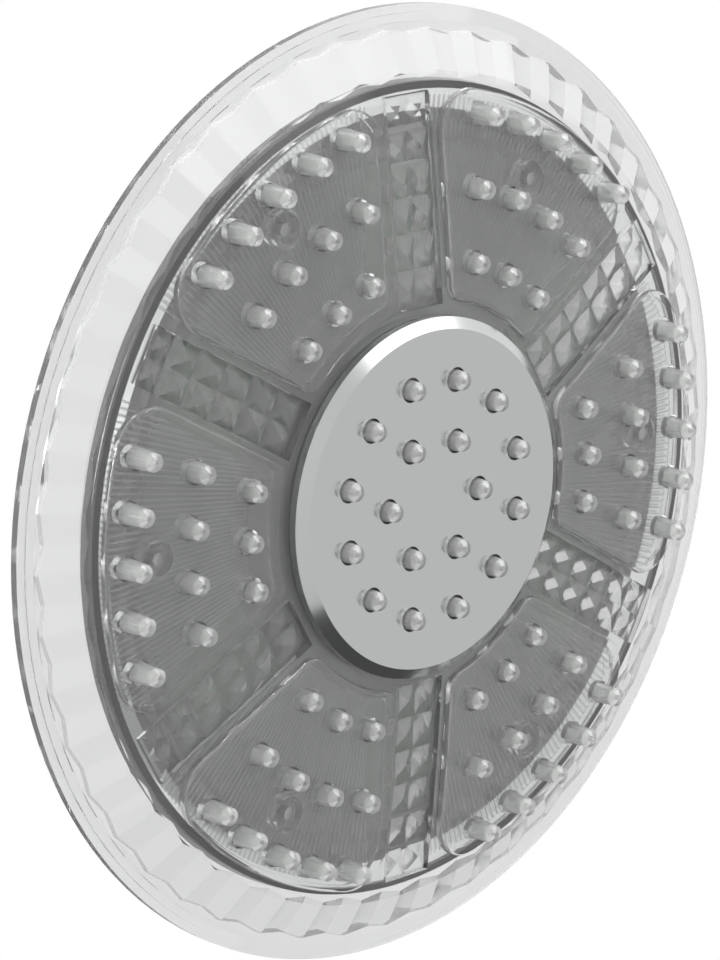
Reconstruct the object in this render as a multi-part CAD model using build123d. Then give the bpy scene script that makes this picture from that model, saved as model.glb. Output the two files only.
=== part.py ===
"""Rain shower head of clear plastic on a ball joint, lit by LEDs that a small water turbine drives.

The head hangs face down. The origin is the middle of the inlet's mouth, and +Z points back up the supply pipe.
"""

import os
from math import cos, radians, sin, sqrt, tan

from build123d import *

# Inlet nut: female half-inch pipe thread
thread_r = 9.3
thread_length = 10.0
nut_across_flats = 26.0
nut_bevel = 1.6
nut_lip = 2.5
thread_relief = 0.5

# Ball stem and what sits in its mouth
neck_wall = 1.0
flange_t = 2.2
stem_bore_r = 4.2
ball_r = 11.0
ball_flat_drop = 8.0
washer_t = 2.5
washer_hole_r = 5.6
screen_t = 0.6
screen_hole_r = 0.55
screen_pitch = 1.9
restrictor_r = 5.0
restrictor_t = 3.0
restrictor_hole_r = 0.9
restrictor_ring_r = 2.9

# Ball socket: seat, hub and collar
tilt_limit = 15.0
seat_wall = 4.0
seat_floor = 1.3
seat_hole_r = 7.0
seat_shoulder = 1.5
hub_wall = 2.2
hub_floor = 3.0
hub_hole_r = 6.0
hub_neck_height = 2.8
hub_flange_t = 3.0
hub_flange_width = 8.0
hub_skirt_height = 4.5
hub_seal_t = 1.0
hub_seal_width = 4.0
collar_wall = 3.2
collar_lip_drop = 4.0
collar_lip_t = 1.2
collar_flare = 1.6
collar_round = 1.2

# Turbine generator
housing_r = 21.0
housing_wall = 1.6
housing_floor = 2.0
outlet_count = 12
outlet_hole_r = 1.5
jet_plate_t = 4.0
jet_count = 6
jet_hole_r = 1.6
jet_ring_r = 13.0
jet_lean = 35.0
shaft_r = 1.0
bush_r = 2.6
upper_bush_t = 2.6
impeller_hub_r = 4.0
impeller_gap = 2.2
impeller_height = 6.5
blade_count = 9
blade_t = 1.0
blade_bow = 2.4
magnet_r = 8.6
bobbin_wall = 0.8
coil_width = 4.4
coil_height = 3.6
winding_gap = 1.7

# Face plate: widths run inwards from the rim, heights run up from the crown of the dome
rim_r = 100.0
brim_width = 5.0
band_width = 8.0
land_width = 3.0
face_radius = 640.0
face_wall = 2.6
band_rise = 4.0
brim_rise = 2.3
rim_edge = 1.6
lip_count = 3
lip_step = 0.4
flute_count = 48
flute_depth = 1.1
flute_foot = 1.0
ledge_step = 0.2

# Petals and their nozzle rows
petal_count = 6
petal_raise = 1.2
petal_wall = 1.5
petal_gap = 15.3
petal_inner_margin = 3.0
petal_outer_corner = 9.0
petal_inner_corner = 4.0
petal_edge_round = 0.8
row_outer_margin = 5.0
row_inner_margin = 8.3
row_counts = (5, 4, 3)
row_steps = (8.0, 10.0, 12.0)

# Prism windows between the petals
window_side_margin = 1.45
window_inner_margin = 1.8
window_outer_margin = 1.0
window_depth = 1.6
prism_across = 2
prism_along = 6
prism_height = 1.5
prism_root = 0.4
prism_tip = 0.3

# Nozzles
nozzle_root_r = 2.5
nozzle_tip_r = 1.9
petal_tip_round = 0.7
centre_tip_round = 1.2
outlet_r = 0.55
outlet_length = 1.1
channel_r = 1.3
petal_tip_drop = 2.2
centre_tip_drop = 5.5
mat_t = 1.4
boss_relief = 0.5

# Chrome centre disc
disc_r = 37.7
disc_bevel_width = 2.3
disc_bevel = 1.6
disc_drop = 2.4
disc_t = 2.2
disc_skirt = 1.6
disc_overlap = 4.7
centre_ring_insets = (12.7, 24.7)
centre_ring_counts = (12, 6)
centre_mat_t = 1.6

# Water chamber, LED tray and its screws
gasket_t = 0.8
plate_t = 2.0
plate_hole_inset = 1.7
mat_clamp_t = 1.6
rib_step = 1.0
rib_height = 0.2
rib_pad = 0.2
tray_gap = 2.3
tray_wall = 1.8
tray_floor = 1.6
board_width = 24.0
board_edge = 1.5
board_t = 1.6
board_standoff = 2.0
standoff_t = 1.5
led_length = 3.5
led_width = 2.8
led_t = 1.2
led_lens_r = 1.1
led_lens_t = 0.4
led_margin = 6.5
led_gap = 0.4
boss_r = 3.6
boss_inset = 4.5
screw_r = 1.4
screw_head_r = 2.8
screw_head_t = 1.6
screw_hole_clearance = 0.2
screw_end_gap = 0.6

# Back cover
cover_inset = 5.9
cover_wall = 2.2
cover_shoulder_drop = 0.4
cover_round = 3.0
cover_bulge = 6.5
cover_collar_width = 10.0

# Clearances
running_gap = 0.05
body_gap = 0.3
seat_gap = 0.1

# Sizes of the ball joint and the generator that follow from what they hold
neck_r = restrictor_r + neck_wall
seat_r = ball_r + seat_wall
seat_depth = ball_r + seat_floor
collar_lip_z = ball_r - collar_lip_drop
collar_top_z = collar_lip_z + collar_lip_t
winding_height = coil_height + 2 * bobbin_wall
generator_height = housing_floor + winding_height + winding_gap + impeller_height + 2 * body_gap + jet_plate_t

# Levels from the inlet's mouth down to the ball
flange_top_z = -(thread_length + washer_t)
nut_bottom_z = flange_top_z - flange_t - body_gap - nut_lip
nut_corner_r = nut_across_flats / 2 / cos(radians(30))
tilt_rise = collar_top_z * cos(radians(tilt_limit)) + nut_corner_r * sin(radians(tilt_limit))
ball_z = nut_bottom_z - tilt_rise - 3 * body_gap

# Levels from the ball down to the water chamber
hub_floor_z = ball_z - seat_depth - body_gap
generator_top_z = hub_floor_z - hub_floor
cover_top_z = generator_top_z + hub_skirt_height - hub_seal_t
plate_top_z = generator_top_z - generator_height
plate_bottom_z = plate_top_z - plate_t
ledge_z = plate_bottom_z - gasket_t
rib_bottom_z = plate_bottom_z - rib_pad - rib_height

# Radii across the head
socket_r = seat_r + body_gap
neck_outer_r = socket_r + hub_wall
skirt_r = housing_r + hub_wall / 2
hub_flange_r = skirt_r + hub_flange_width
band_r = rim_r - brim_width
dome_r = band_r - band_width
petal_outer_r = dome_r - land_width
disc_face_r = disc_r - disc_bevel_width
opening_r = disc_r - disc_overlap
centre_ring_rs = [disc_r - inset for inset in centre_ring_insets]
petal_inner_r = disc_r + petal_inner_margin
window_width = petal_gap - 2 * window_side_margin
window_start_r = disc_r + window_inner_margin
window_end_r = petal_outer_r - window_outer_margin
ledge_r = petal_outer_r - petal_wall / 2
plate_r = dome_r - flute_foot - flute_depth
cover_r = plate_r - cover_inset
tray_r = cover_r - cover_wall - tray_gap
boss_ring_r = tray_r - boss_inset
board_outer_r = boss_ring_r - board_edge
board_inner_r = board_outer_r - board_width
led_rs = [board_inner_r + led_margin, board_outer_r - led_margin]
row_outer_r = petal_outer_r - row_outer_margin
row_pitch = (row_outer_r - petal_inner_r - row_inner_margin) / (len(row_counts) - 1)
row_rs = [row_outer_r - row * row_pitch for row in range(len(row_counts))]
petal_step = 360 / petal_count
petal_angles = [index * petal_step for index in range(petal_count)]
window_angles = [angle + petal_step / 2 for angle in petal_angles]


def sag(r):
    """Rise of the domed face between its crown and the radius r."""
    return face_radius - sqrt(face_radius**2 - r**2)


# Levels of the face plate
face_z = ledge_z - face_wall - sag(petal_outer_r) - ledge_step
band_foot_z = face_z + sag(dome_r)
brim_z = band_foot_z + band_rise
rim_bottom_z = brim_z + brim_rise
rim_top_z = rim_bottom_z + rim_edge
tray_floor_z = plate_top_z + led_gap + led_lens_t + led_t + board_t + board_standoff
tray_top_z = tray_floor_z + tray_floor
board_z = tray_floor_z - board_standoff - board_t


def ring(outer_r, inner_r, bottom_z, top_z):
    """Straight tube about the vertical axis."""
    return Pos(0, 0, bottom_z) * extrude(Circle(outer_r) - Circle(inner_r), top_z - bottom_z)


def post(r, bottom_z, top_z):
    """Upright cylinder on the vertical axis."""
    return Pos(0, 0, bottom_z) * extrude(Circle(r), top_z - bottom_z)


def prism(sketch, bottom_z, top_z):
    """Upright extrusion of a flat outline."""
    return Pos(0, 0, bottom_z) * extrude(sketch, top_z - bottom_z)


def turned(*edges):
    """Solid of revolution of a closed chain of edges in radius and height."""
    return revolve(Plane.XZ * make_face(edges), Axis.Z)


def turned_polygon(*points):
    """Solid of revolution of a closed polygon in radius and height."""
    return turned(*Polyline(*points, close=True).edges())


def at_angle(angle, shape):
    """Copy of a shape turned about the vertical axis."""
    return Rot(0, 0, angle) * shape


def polar(r, angle):
    """Place at a radius and an angle about the vertical axis, turned to face outwards."""
    return Rot(0, 0, angle) * Pos(r, 0, 0)


def dome_z(r, offset):
    """Height of the domed face, moved up by an offset, at the radius r."""
    return face_z + offset + sag(r)


def dome_arc(start_r, end_r, offset):
    """Arc of the domed face between two radii."""
    middle_r = (start_r + end_r) / 2
    return ThreePointArc(*[(r, dome_z(r, offset)) for r in (start_r, middle_r, end_r)])


def dome_layer(low, high):
    """Everything between two copies of the dome, out to the rim."""
    return turned(
        dome_arc(0, rim_r, low),
        Line((rim_r, dome_z(rim_r, low)), (rim_r, dome_z(rim_r, high))),
        dome_arc(rim_r, 0, high),
        Line((0, dome_z(0, high)), (0, dome_z(0, low))),
    )


def petal_outline(inset):
    """Petal along +X: a sector whose sides run parallel to the windows, with rounded corners."""
    half_step = radians(petal_step / 2)
    point_x = (petal_gap / 2 + inset) / sin(half_step)
    reach = 2 * rim_r
    far_x = point_x + reach * cos(half_step)
    far_y = reach * sin(half_step)
    wedge = Polygon((point_x, 0), (far_x, -far_y), (far_x, far_y), align=None)
    petal = wedge & (Circle(petal_outer_r - inset) - Circle(petal_inner_r + inset))
    petal = fillet(petal.vertices().sort_by_distance((0, 0))[-2:], petal_outer_corner - inset)
    return fillet(petal.vertices().sort_by_distance((0, 0))[:2], petal_inner_corner - inset)


def petal_nozzle_places():
    """Radius and angle of each nozzle on the petal along +X."""
    return [
        (r, (index - (count - 1) / 2) * step)
        for r, count, step in zip(row_rs, row_counts, row_steps)
        for index in range(count)
    ]


def centre_nozzle_places():
    """Radius and angle of each nozzle of the centre disc."""
    return [
        (r, (index + 0.5 * (count > petal_count)) * 360 / count)
        for r, count in zip(centre_ring_rs, centre_ring_counts)
        for index in range(count)
    ]


def nozzle(root_z, tip_z, tip_round):
    """Tapered nozzle that hangs from root_z and ends in a rounded tip at tip_z."""
    flat_r = nozzle_tip_r - tip_round
    shoulder = tip_round * (1 - sqrt(0.5))
    return turned(
        *Polyline((0, tip_z), (0, root_z), (nozzle_root_r, root_z), (nozzle_tip_r, tip_z + tip_round)).edges(),
        ThreePointArc(
            (nozzle_tip_r, tip_z + tip_round),
            (nozzle_tip_r - shoulder, tip_z + shoulder),
            (flat_r, tip_z),
        ),
        Line((flat_r, tip_z), (0, tip_z)),
    )


def nozzle_channel(tip_z, top_z):
    """Water's way through a nozzle: a wide channel that narrows to the outlet."""
    return turned_polygon(
        (0, tip_z),
        (outlet_r, tip_z),
        (outlet_r, tip_z + outlet_length),
        (channel_r, tip_z + outlet_length + channel_r - outlet_r),
        (channel_r, top_z),
        (0, top_z),
    )


def union_nut():
    """Hexagon nut with bevelled ends, the thread's bore, a relief below it and a lip for the stem's flange."""
    flat_r = nut_across_flats / 2
    hexagon = RegularPolygon(flat_r, 6, major_radius=False)
    body = prism(hexagon, nut_bottom_z, 0)
    body &= turned_polygon(
        (0, 0),
        (flat_r, 0),
        (flat_r + nut_bevel, -nut_bevel),
        (flat_r + nut_bevel, nut_bottom_z + nut_bevel),
        (flat_r, nut_bottom_z),
        (0, nut_bottom_z),
    )
    lip_z = nut_bottom_z + nut_lip
    return body - turned_polygon(
        (0, 0),
        (thread_r, 0),
        (thread_r, -thread_length),
        (thread_r + thread_relief, -thread_length),
        (thread_r + thread_relief, lip_z),
        (neck_r + running_gap, lip_z),
        (neck_r + running_gap, nut_bottom_z),
        (0, nut_bottom_z),
    )


def ball_stem():
    """Flanged neck that ends in a bored ball with a flat foot."""
    flange_bottom_z = flange_top_z - flange_t
    body = post(thread_r - body_gap, flange_bottom_z, flange_top_z)
    body += post(neck_r, ball_z, flange_bottom_z)
    ball = Pos(0, 0, ball_z) * Sphere(ball_r)
    body += ball - post(2 * ball_r, ball_z - 2 * ball_r, ball_z - ball_flat_drop)
    body -= post(stem_bore_r, ball_z - ball_r, flange_top_z)
    return body - post(restrictor_r + seat_gap, flange_top_z - restrictor_t, flange_top_z)


def inlet_washer():
    """Flat rubber washer on the stem's flange."""
    return ring(thread_r - body_gap, washer_hole_r, flange_top_z, flange_top_z + washer_t)


def filter_screen():
    """Perforated disc that lies in the washer's hole."""
    disc = post(washer_hole_r - seat_gap, flange_top_z, flange_top_z + screen_t)
    holes = [place * post(screen_hole_r, flange_top_z, flange_top_z + screen_t)
             for place in HexLocations(screen_pitch / sqrt(3), 5, 5)
             if place.position.length < washer_hole_r - 2 * screen_hole_r]
    return disc - holes


def flow_restrictor():
    """Plug in the stem's mouth with a ring of metering holes."""
    bottom_z = flange_top_z - restrictor_t
    plug = post(restrictor_r, bottom_z, flange_top_z)
    holes = [place * post(restrictor_hole_r, bottom_z, flange_top_z)
             for place in PolarLocations(restrictor_ring_r, 6)]
    return plug - holes


def ball_seat():
    """Cup that carries the ball from below."""
    cup = ring(seat_r, seat_hole_r, ball_z - seat_depth, ball_z - seat_shoulder)
    return cup - Pos(0, 0, ball_z) * Sphere(ball_r + body_gap)


def hub():
    """Neck with the ball socket, a flange on the back cover and a skirt over the generator."""
    flange_z = generator_top_z + hub_skirt_height
    flange_top = flange_z + hub_flange_t
    neck_top_z = ball_z + hub_neck_height
    body = post(neck_outer_r, generator_top_z, neck_top_z)
    body += post(skirt_r, generator_top_z, flange_z)
    body += turned_polygon(
        (0, flange_z),
        (hub_flange_r, flange_z),
        (hub_flange_r, flange_z + hub_flange_t / 3),
        (neck_outer_r + collar_wall, flange_top),
        (0, flange_top),
    )
    body -= post(socket_r, hub_floor_z, neck_top_z)
    return body - post(hub_hole_r, generator_top_z, hub_floor_z)


def hub_seal():
    """Flat ring between the hub's flange and the back cover."""
    return ring(skirt_r + seat_gap + hub_seal_width, skirt_r + seat_gap, cover_top_z, cover_top_z + hub_seal_t)


def retaining_collar():
    """Ring screwed onto the neck, with a lip that closes over the ball."""
    bottom_z = generator_top_z + hub_skirt_height + hub_flange_t
    bore_r = neck_outer_r + seat_gap
    outer_r = bore_r + collar_wall
    top_z = ball_z + collar_top_z
    lip_z = ball_z + collar_lip_z
    neck_top_z = ball_z + hub_neck_height + seat_gap
    lip_r = sqrt((ball_r + body_gap) ** 2 - collar_lip_z**2)
    body = turned_polygon(
        (0, bottom_z),
        (outer_r, bottom_z),
        (outer_r, top_z - 2 * collar_round),
        (outer_r - collar_round, top_z - collar_round / 2),
        (outer_r - 2 * collar_round, top_z),
        (0, top_z),
    )
    body -= post(bore_r, bottom_z, neck_top_z)
    body -= Pos(0, 0, ball_z) * Sphere(ball_r + body_gap)
    return body - turned_polygon((0, lip_z), (lip_r, lip_z), (lip_r + collar_flare, top_z), (0, top_z))


def back_cover():
    """Domed shell over the LED tray, from the chamber plate up to the hub."""
    hole_r = skirt_r + seat_gap
    flat_r = hole_r + cover_collar_width
    inner_r = cover_r - cover_wall
    shoulder_z = tray_top_z - cover_shoulder_drop
    inner_shoulder_z = shoulder_z - cover_wall / 2
    inner_top_z = cover_top_z - cover_wall

    def crown(start, end):
        middle = ((start[0] + end[0]) / 2, (start[1] + end[1]) / 2 + cover_bulge)
        return ThreePointArc(start, middle, end)

    foot = Polyline(
        (inner_r, inner_shoulder_z), (inner_r, plate_top_z), (cover_r, plate_top_z), (cover_r, shoulder_z)
    )
    collar = Polyline(
        (flat_r, cover_top_z), (hole_r, cover_top_z), (hole_r, inner_top_z), (flat_r, inner_top_z)
    )
    section = make_face([
        *foot.edges(),
        crown((cover_r, shoulder_z), (flat_r, cover_top_z)),
        *collar.edges(),
        crown((flat_r, inner_top_z), (inner_r, inner_shoulder_z)),
    ])
    section = fillet(section.vertices().sort_by_distance((cover_r, shoulder_z))[0], cover_round)
    return revolve(Plane.XZ * section, Axis.Z)


def fluted_hollow():
    """Space inside the band: a zigzag ring that widens upwards, so that its wall is all flat facets."""
    wall_slope = band_width / band_rise
    foot_r = dome_r - flute_foot
    top_z = ledge_z + (band_r - flute_foot - foot_r) / wall_slope

    def zigzag(middle_r):
        step = radians(180 / flute_count)
        scale = middle_r / foot_r
        rs = [scale * (foot_r + flute_depth / 2 * (-1) ** index) for index in range(2 * flute_count)]
        return Polygon(*[(r * cos(i * step), r * sin(i * step)) for i, r in enumerate(rs)], align=None)

    top = zigzag(band_r - flute_foot)
    facets = loft([Pos(0, 0, ledge_z) * zigzag(foot_r), Pos(0, 0, top_z) * top], ruled=True)
    return facets + prism(top, top_z, rim_top_z)


def face_shell():
    """Domed disc with its fluted band, its lipped brim and the opening for the centre disc."""
    lip_width = brim_width / lip_count
    lip_rise = brim_rise / lip_count
    brim = []
    for index in range(lip_count):
        r = band_r + index * lip_width
        z = brim_z + index * lip_rise
        brim += [(r, z + lip_step * (index > 0)), (r + lip_width, z + lip_rise)]
    outline = Polyline((dome_r, band_foot_z), *brim)
    top = Polyline(
        brim[-1],
        (rim_r, rim_top_z),
        (ledge_r, rim_top_z),
        (ledge_r, dome_z(ledge_r, face_wall)),
    )
    shell = turned(
        dome_arc(opening_r, dome_r, 0),
        *outline.edges(),
        *top.edges(),
        dome_arc(ledge_r, opening_r, face_wall),
        Line((opening_r, dome_z(opening_r, face_wall)), (opening_r, dome_z(opening_r, 0))),
    )
    shell -= post(plate_r, ledge_z, rim_top_z)
    return shell - fluted_hollow()


def window_prisms():
    """Two rows of pyramids that fill one window, along +X."""
    along = (window_end_r - window_start_r) / prism_along
    across = window_width / prism_across
    grow = 1 + prism_root / prism_height
    pyramids = []
    for column in range(prism_along):
        r = window_start_r + (column + 0.5) * along
        floor_z = dome_z(r, window_depth)
        for row in range(prism_across):
            y = (row - (prism_across - 1) / 2) * across
            base = Pos(r, y, floor_z + prism_root) * Rectangle(along * grow, across * grow)
            tip = Pos(r, y, floor_z - prism_height) * Rectangle(prism_tip, prism_tip)
            pyramids.append(loft([base, tip]))
    return pyramids


def face_plate():
    """Clear face: dome, fluted band, petals, prism windows, nozzle holes and screw bosses."""
    below_z = face_z - petal_raise - face_wall
    window_length = window_end_r - window_start_r
    window_middle_r = (window_end_r + window_start_r) / 2
    cavity_offset = face_wall - petal_raise

    petal = prism(petal_outline(0), below_z, rim_top_z) & dome_layer(-petal_raise, face_wall / 2)
    petal = fillet(petal.faces().sort_by(Axis.Z)[0].edges(), petal_edge_round)
    cavity = prism(petal_outline(petal_wall), below_z, rim_top_z)
    cavity &= dome_layer(cavity_offset, 2 * face_wall)
    hole = post(nozzle_root_r + seat_gap, below_z, plate_bottom_z)
    window = prism(Pos(window_middle_r, 0) * Rectangle(window_length, window_width), below_z, rim_top_z)
    window &= dome_layer(-face_wall, window_depth)
    window -= window_prisms()
    boss_foot_z = dome_z(boss_ring_r, cavity_offset)
    boss = post(boss_r, boss_foot_z - face_wall / 2, rib_bottom_z)
    boss_hole = post(screw_r, boss_foot_z, rib_bottom_z)

    plate = face_shell()
    plate += [at_angle(angle, petal) for angle in petal_angles]
    plate -= [at_angle(angle, cavity) for angle in petal_angles]
    plate -= [at_angle(angle, window) for angle in window_angles]
    plate += [polar(boss_ring_r, angle) * boss for angle in petal_angles]
    plate -= [polar(boss_ring_r, angle) * boss_hole for angle in petal_angles]
    return plate - [
        polar(r, petal_angle + angle) * hole
        for petal_angle in petal_angles
        for r, angle in petal_nozzle_places()
    ]


def nozzle_mat():
    """Silicone mat under the petal along +X, with its nozzles and a hole for the screw boss."""
    seat_offset = face_wall - petal_raise + seat_gap
    sheet = prism(petal_outline(petal_wall + seat_gap), face_z - face_wall, rim_top_z)
    sheet &= dome_layer(seat_offset, seat_offset + mat_t)
    tip_z = face_z - petal_tip_drop
    sheet += [
        polar(r, turn) * nozzle(dome_z(r, seat_offset + mat_t / 2), tip_z, petal_tip_round)
        for r, turn in petal_nozzle_places()
    ]
    channel = nozzle_channel(tip_z, plate_bottom_z)
    sheet -= [polar(r, turn) * channel for r, turn in petal_nozzle_places()]
    return sheet - Pos(boss_ring_r, 0) * post(boss_r + boss_relief, face_z, rim_top_z)


def centre_disc():
    """Chrome disc: flat face, bevelled edge and a skirt that drops into the plate's opening."""
    face_bottom_z = face_z - disc_drop
    skirt_r = opening_r - seat_gap
    rest_z = dome_z(disc_r, seat_gap)
    body = turned(
        *Polyline(
            (0, face_bottom_z),
            (disc_face_r, face_bottom_z),
            (disc_r, face_bottom_z + disc_bevel),
            (disc_r, dome_z(disc_r, -seat_gap)),
        ).edges(),
        dome_arc(disc_r, skirt_r, -seat_gap),
        *Polyline(
            (skirt_r, dome_z(skirt_r, -seat_gap)),
            (skirt_r, rest_z + face_wall),
            (skirt_r - disc_skirt, rest_z + face_wall),
            (skirt_r - disc_skirt, face_bottom_z + disc_t),
            (0, face_bottom_z + disc_t),
            (0, face_bottom_z),
        ).edges(),
    )
    hole = post(nozzle_root_r + seat_gap, face_bottom_z, face_bottom_z + disc_t)
    return body - [polar(r, angle) * hole for r, angle in centre_nozzle_places()]


def centre_mat():
    """Silicone mat in the centre disc, with its two rings of nozzles."""
    bottom_z = face_z - disc_drop + disc_t
    top_z = bottom_z + centre_mat_t
    sheet = post(opening_r - 2 * seat_gap - disc_skirt, bottom_z, top_z)
    tip_z = face_z - centre_tip_drop
    stalk = nozzle((bottom_z + top_z) / 2, tip_z, centre_tip_round)
    channel = nozzle_channel(tip_z, top_z)
    sheet += [polar(r, angle) * stalk for r, angle in centre_nozzle_places()]
    return sheet - [polar(r, angle) * channel for r, angle in centre_nozzle_places()]


def chamber_gasket():
    """Flat ring that seals the chamber plate to the face plate's ledge."""
    return ring(plate_r - seat_gap, ledge_r, ledge_z, plate_bottom_z)


def rib_fan():
    """Pad behind the petal along +X, with fine radial ribs all over its lower side."""
    half_count = int(petal_step / rib_step)
    top_z = plate_bottom_z + plate_t / 2
    slopes = [tan(radians(index * rib_step / 2)) for index in range(-half_count, half_count + 1)]

    def comb(x):
        teeth = [(x * slope, rib_bottom_z + rib_height * (index % 2)) for index, slope in enumerate(slopes)]
        return Plane.YZ.offset(x) * Polygon((teeth[0][0], top_z), *teeth, (teeth[-1][0], top_z), align=None)

    fan = loft([comb(petal_inner_r), comb(petal_outer_r)], ruled=True)
    return fan & prism(petal_outline(petal_wall + petal_edge_round), face_z, plate_top_z)


def chamber_plate():
    """Plate that closes the water chamber, with the ribs behind the petals and a ring that holds the centre mat."""
    plate = post(plate_r - seat_gap, plate_bottom_z, plate_top_z)
    mat_top_z = face_z - disc_drop + disc_t + centre_mat_t
    clamp_r = opening_r - 3 * seat_gap - disc_skirt
    plate += ring(clamp_r, clamp_r - mat_clamp_t, mat_top_z, plate_top_z)
    plate -= post(housing_r - plate_hole_inset, plate_bottom_z, plate_top_z)
    hole = post(screw_r + screw_hole_clearance, rib_bottom_z, plate_top_z)
    fan = rib_fan()
    plate += [at_angle(angle, fan) for angle in petal_angles]
    return plate - [polar(boss_ring_r, angle) * hole for angle in petal_angles]


def led_board():
    """Ring-shaped board, notched round the screw pillars."""
    board = ring(board_outer_r, board_inner_r, board_z, board_z + board_t)
    notch = post(boss_r + boss_relief, board_z, board_z + board_t)
    return board - [polar(boss_ring_r, angle) * notch for angle in petal_angles]


def leds():
    """Chips with a small lens on the board's lower side, two behind each window."""
    chip = Pos(0, 0, board_z - led_t / 2) * Box(led_length, led_width, led_t)
    chip += post(led_lens_r, board_z - led_t - led_lens_t, board_z - led_t)
    return Compound([polar(r, angle) * chip for angle in window_angles for r in led_rs])


def reflector():
    """Dark tray over the LED board, with ring standoffs and screw pillars."""
    tray = ring(tray_r, housing_r + seat_gap, tray_floor_z, tray_top_z)
    tray += ring(tray_r, tray_r - tray_wall, plate_top_z, tray_top_z)
    tray += ring(housing_r + seat_gap + tray_wall, housing_r + seat_gap, plate_top_z, tray_top_z)
    standoff_top_z = tray_floor_z + tray_floor / 2
    board_top_z = board_z + board_t
    tray += ring(board_inner_r + 2 * standoff_t, board_inner_r + standoff_t, board_top_z, standoff_top_z)
    outer_standoff_r = boss_ring_r - boss_r - boss_relief - standoff_t
    tray += ring(outer_standoff_r, outer_standoff_r - standoff_t, board_top_z, standoff_top_z)
    pillar = post(boss_r, plate_top_z, standoff_top_z)
    hole = post(screw_r + screw_hole_clearance, plate_top_z, tray_top_z)
    tray += [polar(boss_ring_r, angle) * pillar for angle in petal_angles]
    return tray - [polar(boss_ring_r, angle) * hole for angle in petal_angles]


def screws():
    """Six screws that clamp tray and chamber plate to the face plate."""
    tip_z = dome_z(boss_ring_r, face_wall - petal_raise) + screw_end_gap
    screw = post(screw_r, tip_z, tray_top_z) + post(screw_head_r, tray_top_z, tray_top_z + screw_head_t)
    screw = fillet(screw.faces().sort_by(Axis.Z)[-1].edges(), screw_head_t / 3)
    return Compound([polar(boss_ring_r, angle) * screw for angle in petal_angles])


# Levels inside the generator
housing_floor_z = plate_top_z + housing_floor
jet_plate_z = generator_top_z - jet_plate_t
impeller_top_z = jet_plate_z - 2 * body_gap
impeller_z = impeller_top_z - impeller_height
magnet_z = housing_floor_z + 2 * body_gap
housing_bore_r = housing_r - housing_wall
impeller_r = housing_bore_r - impeller_gap


def generator_housing():
    """Cup round the turbine, with a ring of outlets and a seat for the lower bush in its floor."""
    cup = ring(housing_r, housing_bore_r, plate_top_z, generator_top_z)
    cup += ring(housing_r, bush_r, plate_top_z, housing_floor_z)
    outlet_ring_r = housing_bore_r - outlet_hole_r - 2 * seat_gap
    outlet = post(outlet_hole_r, plate_top_z, housing_floor_z)
    return cup - [place * outlet for place in PolarLocations(outlet_ring_r, outlet_count)]


def jet_plate():
    """Lid of the generator, with slanted jets that aim the water at the impeller."""
    lid = ring(housing_bore_r - seat_gap, bush_r, jet_plate_z, generator_top_z)
    middle_z = (jet_plate_z + generator_top_z) / 2
    jet = Pos(0, 0, middle_z) * Rot(jet_lean, 0, 0) * Cylinder(jet_hole_r, 3 * jet_plate_t)
    return lid - [place * jet for place in PolarLocations(jet_ring_r, jet_count)]


def bush(bottom_z, top_z):
    """Plain bearing bush for the turbine shaft."""
    return ring(bush_r, shaft_r + running_gap, bottom_z, top_z)


def turbine_shaft():
    """Steel pin through both bushes."""
    return post(shaft_r, plate_top_z + body_gap, generator_top_z - body_gap)


def impeller():
    """Hub with curved blades, carried by the shaft."""
    wheel = post(impeller_hub_r, impeller_z, impeller_top_z)
    middle_r = (impeller_hub_r + impeller_r) / 2
    bow = ThreePointArc((impeller_hub_r - blade_t, 0), (middle_r, blade_bow), (impeller_r - blade_t, 0))
    blade = prism(trace(bow, blade_t), impeller_z, impeller_top_z)
    wheel += [at_angle(360 / blade_count * index, blade) for index in range(blade_count)]
    return wheel - post(shaft_r, impeller_z, impeller_top_z)


def magnet_ring():
    """Ring magnet on the shaft, under the impeller."""
    return ring(magnet_r, shaft_r, magnet_z, impeller_z)


def coil_bobbin():
    """Spool that carries the winding round the magnet."""
    inner_r = magnet_r + 2 * body_gap
    core_r = inner_r + bobbin_wall
    outer_r = core_r + coil_width
    top_z = housing_floor_z + winding_height
    spool = ring(outer_r, inner_r, housing_floor_z, top_z)
    return spool - ring(outer_r, core_r, housing_floor_z + bobbin_wall, top_z - bobbin_wall)


def stator_coil():
    """Copper winding in the bobbin's channel."""
    core_r = magnet_r + 2 * body_gap + bobbin_wall
    bottom_z = housing_floor_z + bobbin_wall
    return ring(core_r + coil_width - seat_gap, core_r, bottom_z, bottom_z + coil_height)


pieces = {
    "union_nut": union_nut(),
    "ball_stem": ball_stem(),
    "inlet_washer": inlet_washer(),
    "filter_screen": filter_screen(),
    "flow_restrictor": flow_restrictor(),
    "ball_seat": ball_seat(),
    "hub": hub(),
    "hub_seal": hub_seal(),
    "retaining_collar": retaining_collar(),
    "back_cover": back_cover(),
    "face_plate": face_plate(),
    "centre_disc": centre_disc(),
    "centre_mat": centre_mat(),
    "chamber_gasket": chamber_gasket(),
    "chamber_plate": chamber_plate(),
    "led_board": led_board(),
    "leds": leds(),
    "reflector": reflector(),
    "screws": screws(),
    "generator_housing": generator_housing(),
    "jet_plate": jet_plate(),
    "lower_bush": bush(plate_top_z, housing_floor_z),
    "upper_bush": bush(generator_top_z - upper_bush_t, generator_top_z),
    "turbine_shaft": turbine_shaft(),
    "impeller": impeller(),
    "magnet_ring": magnet_ring(),
    "coil_bobbin": coil_bobbin(),
    "stator_coil": stator_coil(),
}
first_mat = nozzle_mat()
for number, petal_angle in enumerate(petal_angles, start=1):
    pieces[f"nozzle_mat_{number}"] = at_angle(petal_angle, first_mat)

os.makedirs("parts", exist_ok=True)
for name, piece in pieces.items():
    export_step(piece, f"parts/{name}.step")
print("ball centre", round(ball_z, 3), "face crown", round(face_z, 3), "chamber plate", round(plate_top_z, 3))
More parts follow.
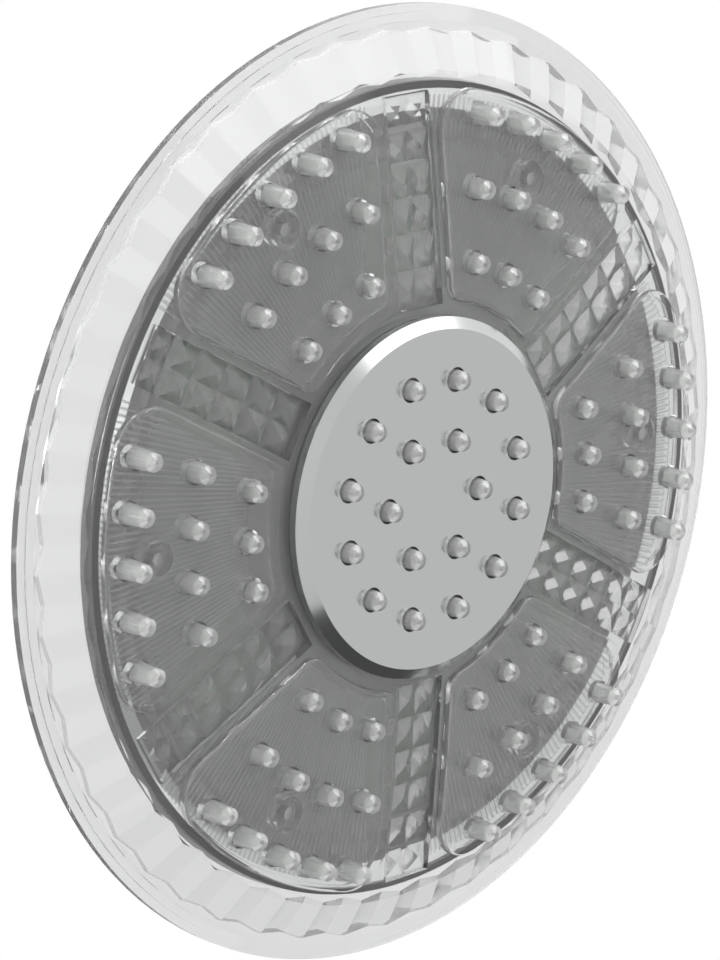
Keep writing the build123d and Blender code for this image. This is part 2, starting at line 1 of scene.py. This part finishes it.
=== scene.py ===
"""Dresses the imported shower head: clear face, silicone nozzles, chrome joint and a ring of LEDs."""

import logging
import math
from dataclasses import dataclass
from enum import Enum

import bpy
from mathutils import Matrix, Vector


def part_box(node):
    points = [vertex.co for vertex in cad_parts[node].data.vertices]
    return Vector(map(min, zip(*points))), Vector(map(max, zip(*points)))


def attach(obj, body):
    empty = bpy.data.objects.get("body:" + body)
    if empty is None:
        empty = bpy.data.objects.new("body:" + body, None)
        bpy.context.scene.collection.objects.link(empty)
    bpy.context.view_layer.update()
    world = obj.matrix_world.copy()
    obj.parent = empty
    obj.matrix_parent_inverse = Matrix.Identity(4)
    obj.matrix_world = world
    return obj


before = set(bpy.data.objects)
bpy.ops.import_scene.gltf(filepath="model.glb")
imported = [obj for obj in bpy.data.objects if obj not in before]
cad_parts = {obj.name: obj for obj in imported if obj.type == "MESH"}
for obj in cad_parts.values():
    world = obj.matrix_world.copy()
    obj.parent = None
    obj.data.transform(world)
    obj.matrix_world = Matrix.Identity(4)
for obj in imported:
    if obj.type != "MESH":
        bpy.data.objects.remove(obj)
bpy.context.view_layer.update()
MM = 0.001
PETAL_COUNT = 6
SMOOTH_ANGLE = math.radians(35)
NOISE_DETAIL = 3.0
LOG = logging.getLogger("shower_head")

# A Mix node has sockets of the same names for each kind of data, so its colours go by index.
MIX_FIRST_COLOUR = 6
MIX_SECOND_COLOUR = 7
MIX_RESULT_COLOUR = 2

Number = float | int
Colour = tuple[float, float, float]
FullColour = tuple[float, float, float, float]
Place = tuple[float, float, float]
Span = tuple[float, float]
Levels = tuple[tuple[float, float], ...]


class Body(Enum):
    """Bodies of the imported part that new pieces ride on."""

    NUT = "nut"
    HEAD = "head"


class Slot(Enum):
    """Material slots of the record that new pieces take their finish from."""

    CHROME = "chrome"


def solid(colour: Colour) -> FullColour:
    """Colour with full alpha."""
    return (*colour, 1.0)


class Wire:
    """Output of a node, used as a value in arithmetic."""

    def __init__(self, graph: "Graph", socket: bpy.types.NodeSocket) -> None:
        """Keeps the socket and the graph that it belongs to."""
        self.graph = graph
        self.socket = socket

    def math(self, operation: str, *operands: "Wire | Number") -> "Wire":
        """Adds a Math node.

        Args:
            operation: Blender's name of the operation.
            operands: values or wires for the node's inputs, in order.

        Returns:
            The node's result.
        """
        return self.graph.node("ShaderNodeMath", {"operation": operation}, dict(enumerate(operands)))

    def __add__(self, other: "Wire | Number") -> "Wire":
        """Sum."""
        return self.math("ADD", self, other)

    def __radd__(self, other: Number) -> "Wire":
        """Sum with a number on the left."""
        return self.math("ADD", other, self)

    def __sub__(self, other: "Wire | Number") -> "Wire":
        """Difference."""
        return self.math("SUBTRACT", self, other)

    def __rsub__(self, other: Number) -> "Wire":
        """Difference from a number."""
        return self.math("SUBTRACT", other, self)

    def __mul__(self, other: "Wire | Number") -> "Wire":
        """Product."""
        return self.math("MULTIPLY", self, other)

    def __rmul__(self, other: Number) -> "Wire":
        """Product with a number on the left."""
        return self.math("MULTIPLY", other, self)

    def __gt__(self, other: "Wire | Number") -> "Wire":
        """One where this is the larger, else zero."""
        return self.math("GREATER_THAN", self, other)

    def __pow__(self, other: "Wire | Number") -> "Wire":
        """Power."""
        return self.math("POWER", self, other)

    def between(self, low: float, high: float) -> "Wire":
        """Value from low to high as this goes from zero to one."""
        return low + (high - low) * self


class Graph:
    """Node tree of a material or of the world."""

    def __init__(self, tree: bpy.types.NodeTree) -> None:
        """Empties the tree."""
        self.tree = tree
        tree.nodes.clear()

    def node(
        self,
        kind: str,
        settings: dict | None = None,
        inputs: dict | None = None,
        output: str | int = 0,
    ) -> Wire:
        """Adds a node.

        Args:
            kind: the node's type.
            settings: attributes that are set first; "stops" fills a colour ramp.
            inputs: values or wires by the input's name or index.
            output: the name or index of the output to return.

        Returns:
            That output.
        """
        node = self.tree.nodes.new(kind)
        for name, value in (settings or {}).items():
            if name == "stops":
                self.fill_ramp(node.color_ramp, value)
            else:
                setattr(node, name, value)
        for name, value in (inputs or {}).items():
            if isinstance(value, Wire):
                self.tree.links.new(value.socket, node.inputs[name])
            else:
                node.inputs[name].default_value = value
        return Wire(self, node.outputs[output])

    @staticmethod
    def fill_ramp(ramp: bpy.types.ColorRamp, stops: list[tuple[float, Colour]]) -> None:
        """Sets the stops of a colour ramp.

        Args:
            ramp: the ramp of a node.
            stops: place and colour of each stop, in order.
        """
        while len(ramp.elements) < len(stops):
            ramp.elements.new(1.0)
        for element, (place, colour) in zip(ramp.elements, stops):
            element.position = place
            element.color = solid(colour)

    def finish(self, kind: str, shader: Wire) -> None:
        """Links a shader to a new output node."""
        output = self.tree.nodes.new(kind)
        self.tree.links.new(shader.socket, output.inputs["Surface"])

    def place(self) -> Wire:
        """Object coordinates."""
        return self.node("ShaderNodeTexCoord", output="Object")

    def axes(self) -> tuple[Wire, Wire, Wire]:
        """Object coordinates along X, Y and Z."""
        place = {0: self.place()}
        return tuple(self.node("ShaderNodeSeparateXYZ", None, place, output=axis) for axis in "XYZ")

    def noise(self, scale: float) -> Wire:
        """Noise on object coordinates, with scale in cycles per metre."""
        inputs = {"Vector": self.place(), "Scale": scale, "Detail": NOISE_DETAIL}
        return self.node("ShaderNodeTexNoise", None, inputs)

    def bump(self, height: Wire, strength: float, distance: float) -> Wire:
        """Normal from a height in units of distance, in metres."""
        inputs = {"Height": height, "Strength": strength, "Distance": distance}
        return self.node("ShaderNodeBump", None, inputs)

    def blend(self, factor: Wire, first: Colour, second: Colour) -> Wire:
        """Mix of two colours, all of the second where the factor is one."""
        inputs = {"Factor": factor, MIX_FIRST_COLOUR: solid(first), MIX_SECOND_COLOUR: solid(second)}
        return self.node("ShaderNodeMix", {"data_type": "RGBA"}, inputs, output=MIX_RESULT_COLOUR)

    def principled(self, inputs: dict) -> Wire:
        """Principled shader, with values or wires by the input's name."""
        return self.node("ShaderNodeBsdfPrincipled", None, inputs)

    def background(self, colour: Wire | FullColour, strength: float) -> Wire:
        """Shader of the surroundings."""
        return self.node("ShaderNodeBackground", None, {"Color": colour, "Strength": strength})

    def mix(self, factor: Wire, first: Wire, second: Wire) -> Wire:
        """Mix of two shaders, all of the second where the factor is one."""
        return self.node("ShaderNodeMixShader", None, {0: factor, 1: first, 2: second})


@dataclass(frozen=True)
class Finish:
    """Surface finish that turns into one shared material.

    In every finish, scales are in cycles per metre, and a spread is what the roughness is
    multiplied by where its noise is lowest and highest.
    """

    name: str

    def material(self) -> bpy.types.Material:
        """Gives the finish's material, made on first use.

        Returns:
            The material.
        """
        full_name = f"{self.name}_finish"
        material = bpy.data.materials.get(full_name)
        if material is None:
            material = bpy.data.materials.new(full_name)
            material.use_nodes = True
            graph = Graph(material.node_tree)
            graph.finish("ShaderNodeOutputMaterial", self.surface(graph))
        return material

    def surface(self, graph: Graph) -> Wire:
        """Builds the shader. Each finish has its own."""
        raise NotImplementedError

    def coat(self, *objects: bpy.types.Object) -> None:
        """Gives the finish to objects as their only material, and reports each.

        Args:
            objects: mesh objects.
        """
        for obj in objects:
            obj.data.materials.clear()
            obj.data.materials.append(self.material())
            LOG.info("%s: %s", obj.name, self.name)

    def dress(self, *nodes: str) -> None:
        """Gives the finish to CAD nodes by name."""
        self.coat(*[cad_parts[node] for node in nodes])


@dataclass(frozen=True)
class ClearPlastic(Finish):
    """Clear moulded plastic with faint flow marks."""

    tint: Colour = (0.87, 0.875, 0.875)
    roughness: float = 0.05
    spread: Span = (0.6, 1.4)
    refraction: float = 1.45
    clarity: float = 0.89
    mark_scale: float = 90.0
    ripple_scale: float = 45.0
    ripple_strength: float = 0.3
    ripple_depth: float = 0.01 * MM

    def surface(self, graph: Graph) -> Wire:
        """Builds a refracting shader whose gloss varies a little.

        Args:
            graph: the material's nodes.

        Returns:
            The shader.
        """
        marks = graph.noise(self.mark_scale)
        inputs = {
            "Base Color": solid(self.tint),
            "Roughness": self.roughness * marks.between(*self.spread),
            "IOR": self.refraction,
            "Transmission Weight": self.clarity,
            "Normal": graph.bump(graph.noise(self.ripple_scale), self.ripple_strength, self.ripple_depth),
        }
        return graph.principled(inputs)


@dataclass(frozen=True)
class Silicone(Finish):
    """Silicone rubber: clear in a thin sheet and milky in the thick nozzles.

    The sheet bends light less than real silicone, so that it hardly shows behind the face.
    """

    tint: Colour = (0.95, 0.96, 0.95)
    roughness: float = 0.14
    sheet_spread: Span = (0.3, 0.5)
    nozzle_spread: Span = (0.8, 1.2)
    sheet_refraction: float = 1.2
    nozzle_refraction: float = 1.41
    milk: float = 0.25
    cloud_scale: float = 400.0
    dome_radius: float = 640.0 * MM
    mask_margin: float = 0.8 * MM

    def surface(self, graph: Graph) -> Wire:
        """Builds a clear and a milky shader, mixed by the place below the domed sheet.

        Args:
            graph: the material's nodes.

        Returns:
            The mixed shader.
        """
        cloud = graph.noise(self.cloud_scale)
        clear = {
            "Base Color": solid(self.tint),
            "Roughness": self.roughness * cloud.between(*self.sheet_spread),
            "IOR": self.sheet_refraction,
            "Transmission Weight": 1.0,
        }
        milky = {
            "Base Color": solid(self.tint),
            "Roughness": self.roughness * cloud.between(*self.nozzle_spread),
            "IOR": self.nozzle_refraction,
            "Transmission Weight": 1.0 - self.milk,
        }
        return graph.mix(self.nozzle_mask(graph), graph.principled(clear), graph.principled(milky))

    def nozzle_mask(self, graph: Graph) -> Wire:
        """Marks the nozzles, which hang below the face's domed surface.

        Args:
            graph: the material's nodes.

        Returns:
            One on the nozzles, else zero.
        """
        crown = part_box("face_plate")[0][2]
        x, y, z = graph.axes()
        drop = (self.dome_radius**2 - x * x - y * y) ** 0.5
        surface = crown + self.dome_radius - drop
        return (surface + self.mask_margin) > z


@dataclass(frozen=True)
class RibbedPlastic(Finish):
    """Clear plastic whose fine radial ribs show behind the petals as grey stripes of painted light and
    shade on their crests.
    """

    tint: Colour = (0.97, 0.98, 0.98)
    # Grey of the stripes on the rib crests: painted light and shade standing in for how the clear ribs
    # bend light, not a real frosting.
    painted_rib_tone: Colour = (0.70, 0.71, 0.70)
    roughness: float = 0.05
    spread: Span = (0.6, 1.4)
    painted_rib_roughness: Span = (0.6, 0.8)
    refraction: float = 1.45
    clarity: float = 0.96
    grain_scale: float = 90.0
    ribs_per_turn: float = 360.0
    rib_sharpness: float = 3.0
    painted_rib_weight: float = 0.55
    petal_gap: float = 18.6 * MM
    petal_end: float = 81.7 * MM

    def surface(self, graph: Graph) -> Wire:
        """Builds a clear shader and a grey shader of painted rib light and shade, mixed by the angle
        about the axis.

        Args:
            graph: the material's nodes.

        Returns:
            The mixed shader.
        """
        x, y, _ = graph.axes()
        angle = x.math("ARCTAN2", y, x)
        turn = angle * self.ribs_per_turn
        crest = 0.5 + 0.5 * turn.math("SINE", turn)
        grain = graph.noise(self.grain_scale)
        clear = {
            "Base Color": solid(self.tint),
            "Roughness": self.roughness * grain.between(*self.spread),
            "IOR": self.refraction,
            "Transmission Weight": self.clarity,
        }
        # Dull grey shader of the painted rib light and shade.
        painted_rib_inputs = {
            "Base Color": solid(self.painted_rib_tone),
            "Roughness": grain.between(*self.painted_rib_roughness),
        }
        # Weight of the painted rib stripes of light and shade, strongest on each crest.
        painted_rib_weight = self.painted_rib_weight * crest**self.rib_sharpness
        mask = self.petal_mask(angle, (x * x + y * y) ** 0.5)
        return graph.mix(painted_rib_weight * mask, graph.principled(clear), graph.principled(painted_rib_inputs))

    def petal_mask(self, angle: Wire, radius: Wire) -> Wire:
        """Marks where the petals lie.

        Args:
            angle: angle about the axis.
            radius: distance from the axis.

        Returns:
            One behind the petals, else zero.
        """
        half_step = math.pi / PETAL_COUNT
        from_gap = half_step - angle.math("PINGPONG", angle, half_step)
        offset = radius * from_gap.math("SINE", from_gap)
        return (offset > self.petal_gap / 2) * (self.petal_end - radius > 0.0)


@dataclass(frozen=True)
class Plating(Finish):
    """Chrome plating or bare metal, from mirror-bright to dull."""

    tint: Colour = (0.83, 0.84, 0.84)
    roughness: float = 0.08
    spread: Span = (0.85, 1.15)
    haze_scale: float = 220.0

    def surface(self, graph: Graph) -> Wire:
        """Builds a metal with faint polishing haze.

        Args:
            graph: the material's nodes.

        Returns:
            The shader.
        """
        haze = graph.noise(self.haze_scale)
        inputs = {
            "Base Color": solid(self.tint),
            "Metallic": 1.0,
            "Roughness": self.roughness * haze.between(*self.spread),
        }
        return graph.principled(inputs)


@dataclass(frozen=True)
class FrontPlating(Finish):
    """Satin plating on a disc's front that stops at the bare dark plastic of its hidden inside."""

    tint: Colour = (0.62, 0.63, 0.63)
    bare: Colour = (0.16, 0.165, 0.163)
    roughness: float = 0.15
    spread: Span = (0.95, 1.05)
    dulling: float = 0.2
    haze_scale: float = 60.0
    plated_height: float = 3.2 * MM

    def surface(self, graph: Graph) -> Wire:
        """Builds a metal below the plating's edge and a dull plastic above it.

        Args:
            graph: the material's nodes.

        Returns:
            The shader.
        """
        _, _, z = graph.axes()
        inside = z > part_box("centre_disc")[0][2] + self.plated_height
        haze = graph.noise(self.haze_scale)
        inputs = {
            "Base Color": graph.blend(inside, self.tint, self.bare),
            "Metallic": 1.0 - inside,
            "Roughness": self.roughness * haze.between(*self.spread) + self.dulling * inside,
        }
        return graph.principled(inputs)


@dataclass(frozen=True)
class Moulded(Finish):
    """Opaque moulded plastic, rubber, paint or coated board with a fine grain."""

    tint: Colour = (0.5, 0.5, 0.5)
    shade: Colour = (0.45, 0.45, 0.45)
    roughness: float = 0.5
    spread: Span = (0.85, 1.15)
    mottle_scale: float = 60.0
    grain_scale: float = 1500.0
    grain_strength: float = 0.4
    grain_depth: float = 0.02 * MM

    def surface(self, graph: Graph) -> Wire:
        """Builds a grained dielectric.

        Args:
            graph: the material's nodes.

        Returns:
            The shader.
        """
        grain = graph.noise(self.grain_scale)
        inputs = {
            "Base Color": graph.blend(graph.noise(self.mottle_scale), self.shade, self.tint),
            "Roughness": self.roughness * grain.between(*self.spread),
            "Normal": graph.bump(grain, self.grain_strength, self.grain_depth),
        }
        return graph.principled(inputs)


CLEAR = ClearPlastic("clear_plastic")
SILICONE = Silicone("silicone")
BRIGHT_CHROME = Plating("bright_chrome")
FRONT_CHROME = FrontPlating("satin_front")
SATIN_CHROME = Plating("satin_chrome", tint=(0.78, 0.79, 0.79), roughness=0.32)
RIBBED = RibbedPlastic("ribbed_plastic")
STEEL = Plating("plain_steel", tint=(0.55, 0.55, 0.55), roughness=0.35)
COPPER = Plating("enamelled_copper", tint=(0.72, 0.33, 0.17), roughness=0.3)
BRONZE = Plating("sintered_bronze", tint=(0.55, 0.40, 0.22), roughness=0.45)
DARK_PLASTIC = Moulded("dark_plastic", (0.48, 0.49, 0.485), (0.43, 0.44, 0.435), 0.45)
WHITE_PLASTIC = Moulded("white_plastic", (0.80, 0.80, 0.78), (0.74, 0.74, 0.72), 0.4)
BLACK_RUBBER = Moulded("black_rubber", (0.03, 0.03, 0.03), (0.02, 0.02, 0.02), 0.7)
GREEN_BOARD = Moulded("green_board", (0.13, 0.27, 0.13), (0.11, 0.24, 0.11), 0.35)
LED_CHIP = Moulded("led_chip", (0.62, 0.62, 0.55), (0.55, 0.55, 0.48), 0.2)
FERRITE = Moulded("ferrite", (0.06, 0.06, 0.065), (0.045, 0.045, 0.05), 0.55)
FLOOR_PAINT = Moulded("floor_paint", (0.82, 0.82, 0.82), (0.80, 0.80, 0.80), 0.6)
WHITE: Colour = (1.0, 1.0, 1.0)


@dataclass(frozen=True)
class Lamp:
    """Square area lamp, with its size in metres and its power in watts."""

    name: str
    place: Place
    size: float
    power: float
    highlight_only: bool = False

    def build(self, target: Vector) -> None:
        """Adds the lamp, turned towards a point.

        Args:
            target: the point that it lights.
        """
        data = bpy.data.lights.new(self.name, "AREA")
        data.size = self.size
        data.energy = self.power
        lamp = bpy.data.objects.new(self.name, data)
        bpy.context.collection.objects.link(lamp)
        lamp.visible_diffuse = not self.highlight_only
        lamp.visible_transmission = not self.highlight_only
        lamp.location = self.place
        lamp.rotation_euler = (target - Vector(self.place)).to_track_quat("-Z", "Y").to_euler()


@dataclass
class Studio:
    """White surroundings, a pale floor, soft lamps and the camera.

    Lengths are in metres and angles in degrees. The lens and the sensor are in millimetres, as
    in Blender. The top light is the upward direction of the photo, and the levels give brightness
    by the height towards it, from -1 to 1.
    """

    floor_z: float = -1.0
    floor_size: float = 2.6
    floor_place: tuple[float, float] = (0.6, -0.3)
    ambient: float = 0.9
    top_light: Place = (0.182, -0.966, 0.183)
    mirrored: Levels = ((-0.7, 0.08), (-0.25, 0.55), (0.0, 0.88), (0.3, 1.0))
    refracted: Levels = ((-0.6, 0.62), (-0.2, 0.80), (0.1, 0.92), (0.4, 1.0))
    lamp_target: Place = (0.0, 0.0, -0.06)
    lamps: tuple[Lamp, ...] = (
        Lamp("key", (0.40, -0.38, -0.56), 0.6, 1.6),
        Lamp("fill", (-0.6, -0.7, -0.5), 0.6, 0.8),
        Lamp("edge_left", (-0.75, -0.15, 0.15), 0.25, 4.0, highlight_only=True),
        Lamp("edge_top", (-0.2, -0.9, -0.2), 0.25, 4.0, highlight_only=True),
    )
    lens: float = 199.7
    sensor_width: float = 36.0
    clip_end: float = 20.0
    distance: float = 1.07434
    bearing: float = -159.163
    elevation: float = -43.482
    roll: float = -75.417
    aim: tuple[float, float] = (-18.64 * MM, -7.22 * MM)

    def build(self) -> None:
        """Makes everything that isn't part of the object."""
        self.build_world()
        self.build_floor()
        for lamp in self.lamps:
            lamp.build(Vector(self.lamp_target))
        self.build_camera()
        bpy.context.scene.view_settings.view_transform = "Standard"

    def build_world(self) -> None:
        """White for the camera; reflections and refractions see it dim away from the top light."""
        world = bpy.data.worlds.new("studio")
        bpy.context.scene.world = world
        world.use_nodes = True
        graph = Graph(world.node_tree)
        camera, glossy, bent = (
            graph.node("ShaderNodeLightPath", output=f"Is {kind} Ray")
            for kind in ("Camera", "Glossy", "Transmission")
        )
        ambient = graph.background(solid(WHITE), self.ambient)
        backdrop = graph.background(solid(WHITE), 1.0)
        shader = graph.mix(glossy, ambient, self.sky(graph, self.mirrored))
        shader = graph.mix(bent, shader, self.sky(graph, self.refracted))
        shader = graph.mix(camera, shader, backdrop)
        graph.finish("ShaderNodeOutputWorld", shader)

    def sky(self, graph: Graph, levels: Levels) -> Wire:
        """Builds surroundings that change with the height towards the top light.

        Args:
            graph: the world's nodes.
            levels: height from -1 to 1 and brightness, in order.

        Returns:
            A background shader.
        """
        direction = graph.node("ShaderNodeTexCoord", output="Generated")
        axes = {0: direction, 1: self.top_light}
        height = graph.node("ShaderNodeVectorMath", {"operation": "DOT_PRODUCT"}, axes, output="Value")
        stops = [(0.5 + 0.5 * place, (level, level, level)) for place, level in levels]
        tone = graph.node("ShaderNodeValToRGB", {"stops": stops}, {0: 0.5 + 0.5 * height})
        return graph.background(tone, 1.0)

    def build_floor(self) -> None:
        """Adds a pale floor well below the head."""
        place = (*self.floor_place, self.floor_z)
        bpy.ops.mesh.primitive_plane_add(size=self.floor_size, location=place)
        floor = bpy.context.object
        floor.name = "floor"
        FLOOR_PAINT.coat(floor)

    def build_camera(self) -> None:
        """Adds the camera that looks up at the face."""
        centre = Vector((*self.aim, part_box("face_plate")[0][2]))
        bearing = math.radians(self.bearing)
        elevation = math.radians(self.elevation)
        away = Vector((
            math.cos(elevation) * math.cos(bearing),
            math.cos(elevation) * math.sin(bearing),
            math.sin(elevation),
        ))
        right = away.cross(Vector((0, 0, 1))).normalized() * -1
        up = away.cross(right)
        turn = math.radians(self.roll)
        turned_right = math.cos(turn) * right + math.sin(turn) * up
        turned_up = away.cross(turned_right)
        data = bpy.data.cameras.new("photo_camera")
        data.lens = self.lens
        data.sensor_width = self.sensor_width
        data.clip_end = self.clip_end
        camera = bpy.data.objects.new("photo_camera", data)
        bpy.context.collection.objects.link(camera)
        basis = Matrix((turned_right, turned_up, away)).transposed().to_4x4()
        camera.matrix_world = Matrix.Translation(centre + away * self.distance) @ basis
        bpy.context.scene.camera = camera


class SubAssembly:
    """Group of CAD nodes and new pieces that belong together."""

    body: Body
    slot: Slot

    def build(self) -> list[bpy.types.Object]:
        """Models the new pieces. Most groups have none."""
        return []

    def dress(self, pieces: list[bpy.types.Object]) -> None:
        """Gives the group's nodes and new pieces their finishes."""
        raise NotImplementedError

    def assemble(self) -> None:
        """Builds and dresses the group, and ties its new pieces to its body."""
        pieces = self.build()
        for piece in pieces:
            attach(piece, self.body.value)
        self.dress(pieces)


def settle(piece: bpy.types.Object, name: str) -> bpy.types.Object:
    """Names a piece, moves its place into its mesh and smooths its shallow edges.

    Args:
        piece: the selected, active object.
        name: the piece's name.

    Returns:
        The same object.
    """
    piece.name = name
    piece.data.name = name
    bpy.ops.object.transform_apply(location=True, rotation=True, scale=True)
    bpy.ops.object.shade_smooth_by_angle(angle=SMOOTH_ANGLE)
    return piece


@dataclass
class InletNut(SubAssembly):
    """Hexagon nut with the turns of its pipe thread."""

    bore: float = 9.3 * MM
    pitch: float = 1.814 * MM
    tooth: float = 0.45 * MM
    tooth_sides: int = 3
    seating: float = 0.12 * MM
    first_turn: float = -0.8 * MM
    turns: int = 4
    steps: int = 64
    merge_distance: float = 0.001 * MM
    body = Body.NUT
    slot = Slot.CHROME

    def build(self) -> list[bpy.types.Object]:
        """Winds a three-cornered tooth down the bore.

        Returns:
            The thread.
        """
        bpy.ops.object.select_all(action="DESELECT")
        inwards = Matrix(((0, -1, 0), (0, 0, -1), (1, 0, 0)))
        place = (self.bore + self.seating - self.tooth / 2, 0, self.first_turn)
        bpy.ops.mesh.primitive_circle_add(
            vertices=self.tooth_sides, radius=self.tooth, location=place, rotation=inwards.to_euler()
        )
        thread = settle(bpy.context.object, "inlet_thread")
        screw = thread.modifiers.new("winding", "SCREW")
        screw.axis = "Z"
        screw.screw_offset = -self.pitch
        screw.iterations = self.turns
        screw.steps = screw.render_steps = self.steps
        bpy.ops.object.modifier_apply(modifier=screw.name)
        bpy.ops.object.mode_set(mode="EDIT")
        bpy.ops.mesh.select_all(action="SELECT")
        bpy.ops.mesh.remove_doubles(threshold=self.merge_distance)
        bpy.ops.mesh.fill_holes(sides=self.tooth_sides)
        bpy.ops.mesh.select_all(action="SELECT")
        bpy.ops.mesh.normals_make_consistent(inside=False)
        bpy.ops.object.mode_set(mode="OBJECT")
        return [thread]

    def dress(self, pieces: list[bpy.types.Object]) -> None:
        """Plates the nut and its thread."""
        BRIGHT_CHROME.dress("union_nut")
        BRIGHT_CHROME.coat(*pieces)


@dataclass
class BallStem(SubAssembly):
    """Stem with the ball, and what lies in its mouth."""

    def dress(self, pieces: list[bpy.types.Object]) -> None:
        """Plates the stem, and gives washer, screen and restrictor their finishes.

        Args:
            pieces: none here.
        """
        BRIGHT_CHROME.dress("ball_stem")
        BLACK_RUBBER.dress("inlet_washer")
        STEEL.dress("filter_screen")
        WHITE_PLASTIC.dress("flow_restrictor")


@dataclass
class BallSocket(SubAssembly):
    """Hub with the ball's seat, its seal and the collar that holds the ball."""

    grip_count: int = 24
    grip_width: float = 1.7 * MM
    grip_depth: float = 1.2 * MM
    grip_stand: float = 0.6 * MM
    grip_margins: tuple[float, float] = (2.0 * MM, 4.6 * MM)
    grip_bevel: float = 0.35 * MM
    bevel_segments: int = 3
    body = Body.HEAD
    slot = Slot.CHROME

    def build(self) -> list[bpy.types.Object]:
        """Models one grip bar on the collar and spins it into a full ring.

        Returns:
            The ring of bars.
        """
        bpy.ops.object.select_all(action="DESELECT")
        low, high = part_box("retaining_collar")
        bottom = low[2] + self.grip_margins[0]
        top = high[2] - self.grip_margins[1]
        place = (high[0] + self.grip_stand - self.grip_depth / 2, 0, (bottom + top) / 2)
        bpy.ops.mesh.primitive_cube_add(
            size=1, location=place, scale=(self.grip_depth, self.grip_width, top - bottom)
        )
        grips = settle(bpy.context.object, "collar_grips")
        step = 2 * math.pi / self.grip_count
        bpy.ops.object.mode_set(mode="EDIT")
        bpy.ops.mesh.select_all(action="SELECT")
        bpy.ops.mesh.bevel(offset=self.grip_bevel, segments=self.bevel_segments, affect="EDGES")
        bpy.ops.mesh.select_all(action="SELECT")
        bpy.ops.mesh.spin(
            steps=self.grip_count - 1,
            dupli=True,
            angle=2 * math.pi - step,
            center=(0, 0, 0),
            axis=(0, 0, 1),
        )
        bpy.ops.mesh.select_all(action="SELECT")
        bpy.ops.mesh.normals_make_consistent(inside=False)
        bpy.ops.object.mode_set(mode="OBJECT")
        return [grips]

    def dress(self, pieces: list[bpy.types.Object]) -> None:
        """Plates hub, collar and grips, and gives seat and seal their finishes.

        Args:
            pieces: the grips.
        """
        BRIGHT_CHROME.dress("hub", "retaining_collar")
        BRIGHT_CHROME.coat(*pieces)
        WHITE_PLASTIC.dress("ball_seat")
        BLACK_RUBBER.dress("hub_seal")


@dataclass
class Face(SubAssembly):
    """Clear face with the chamber plate and gasket behind it."""

    def dress(self, pieces: list[bpy.types.Object]) -> None:
        """Gives the clear plates and the gasket their finishes.

        Args:
            pieces: none here.
        """
        CLEAR.dress("face_plate")
        RIBBED.dress("chamber_plate")
        SILICONE.dress("chamber_gasket")


@dataclass
class NozzleFields(SubAssembly):
    """Silicone mats under the petals and the centre disc."""

    def dress(self, pieces: list[bpy.types.Object]) -> None:
        """Gives all mats the silicone finish."""
        SILICONE.dress("centre_mat", *[f"nozzle_mat_{number + 1}" for number in range(PETAL_COUNT)])


@dataclass
class CentreDisc(SubAssembly):
    """Plated disc in the middle of the face."""

    def dress(self, pieces: list[bpy.types.Object]) -> None:
        """Plates the disc's front in satin chrome."""
        FRONT_CHROME.dress("centre_disc")


@dataclass
class LightTray(SubAssembly):
    """LED board in its dark tray, with the screws and the cover behind them."""

    def dress(self, pieces: list[bpy.types.Object]) -> None:
        """Gives board, chips, tray, screws and cover their finishes.

        Args:
            pieces: none here.
        """
        GREEN_BOARD.dress("led_board")
        LED_CHIP.dress("leds")
        DARK_PLASTIC.dress("reflector")
        STEEL.dress("screws")
        SATIN_CHROME.dress("back_cover")


@dataclass
class Generator(SubAssembly):
    """Turbine generator between the hub and the water chamber."""

    def dress(self, pieces: list[bpy.types.Object]) -> None:
        """Gives the generator's fixed and turning pieces their finishes.

        Args:
            pieces: none here.
        """
        DARK_PLASTIC.dress("generator_housing")
        WHITE_PLASTIC.dress("jet_plate", "impeller", "coil_bobbin")
        BRONZE.dress("lower_bush", "upper_bush")
        STEEL.dress("turbine_shaft")
        FERRITE.dress("magnet_ring")
        COPPER.dress("stator_coil")


def main() -> None:
    """Builds and dresses the whole scene."""
    logging.basicConfig(level=logging.INFO, format="%(name)s: %(message)s")
    groups = (InletNut, BallStem, BallSocket, LightTray, Generator, Face, NozzleFields, CentreDisc)
    for group in groups:
        group().assemble()
        LOG.info("%s dressed", group.__name__)
    Studio().build()
    LOG.info("studio built")


if __name__ == "__main__":
    main()
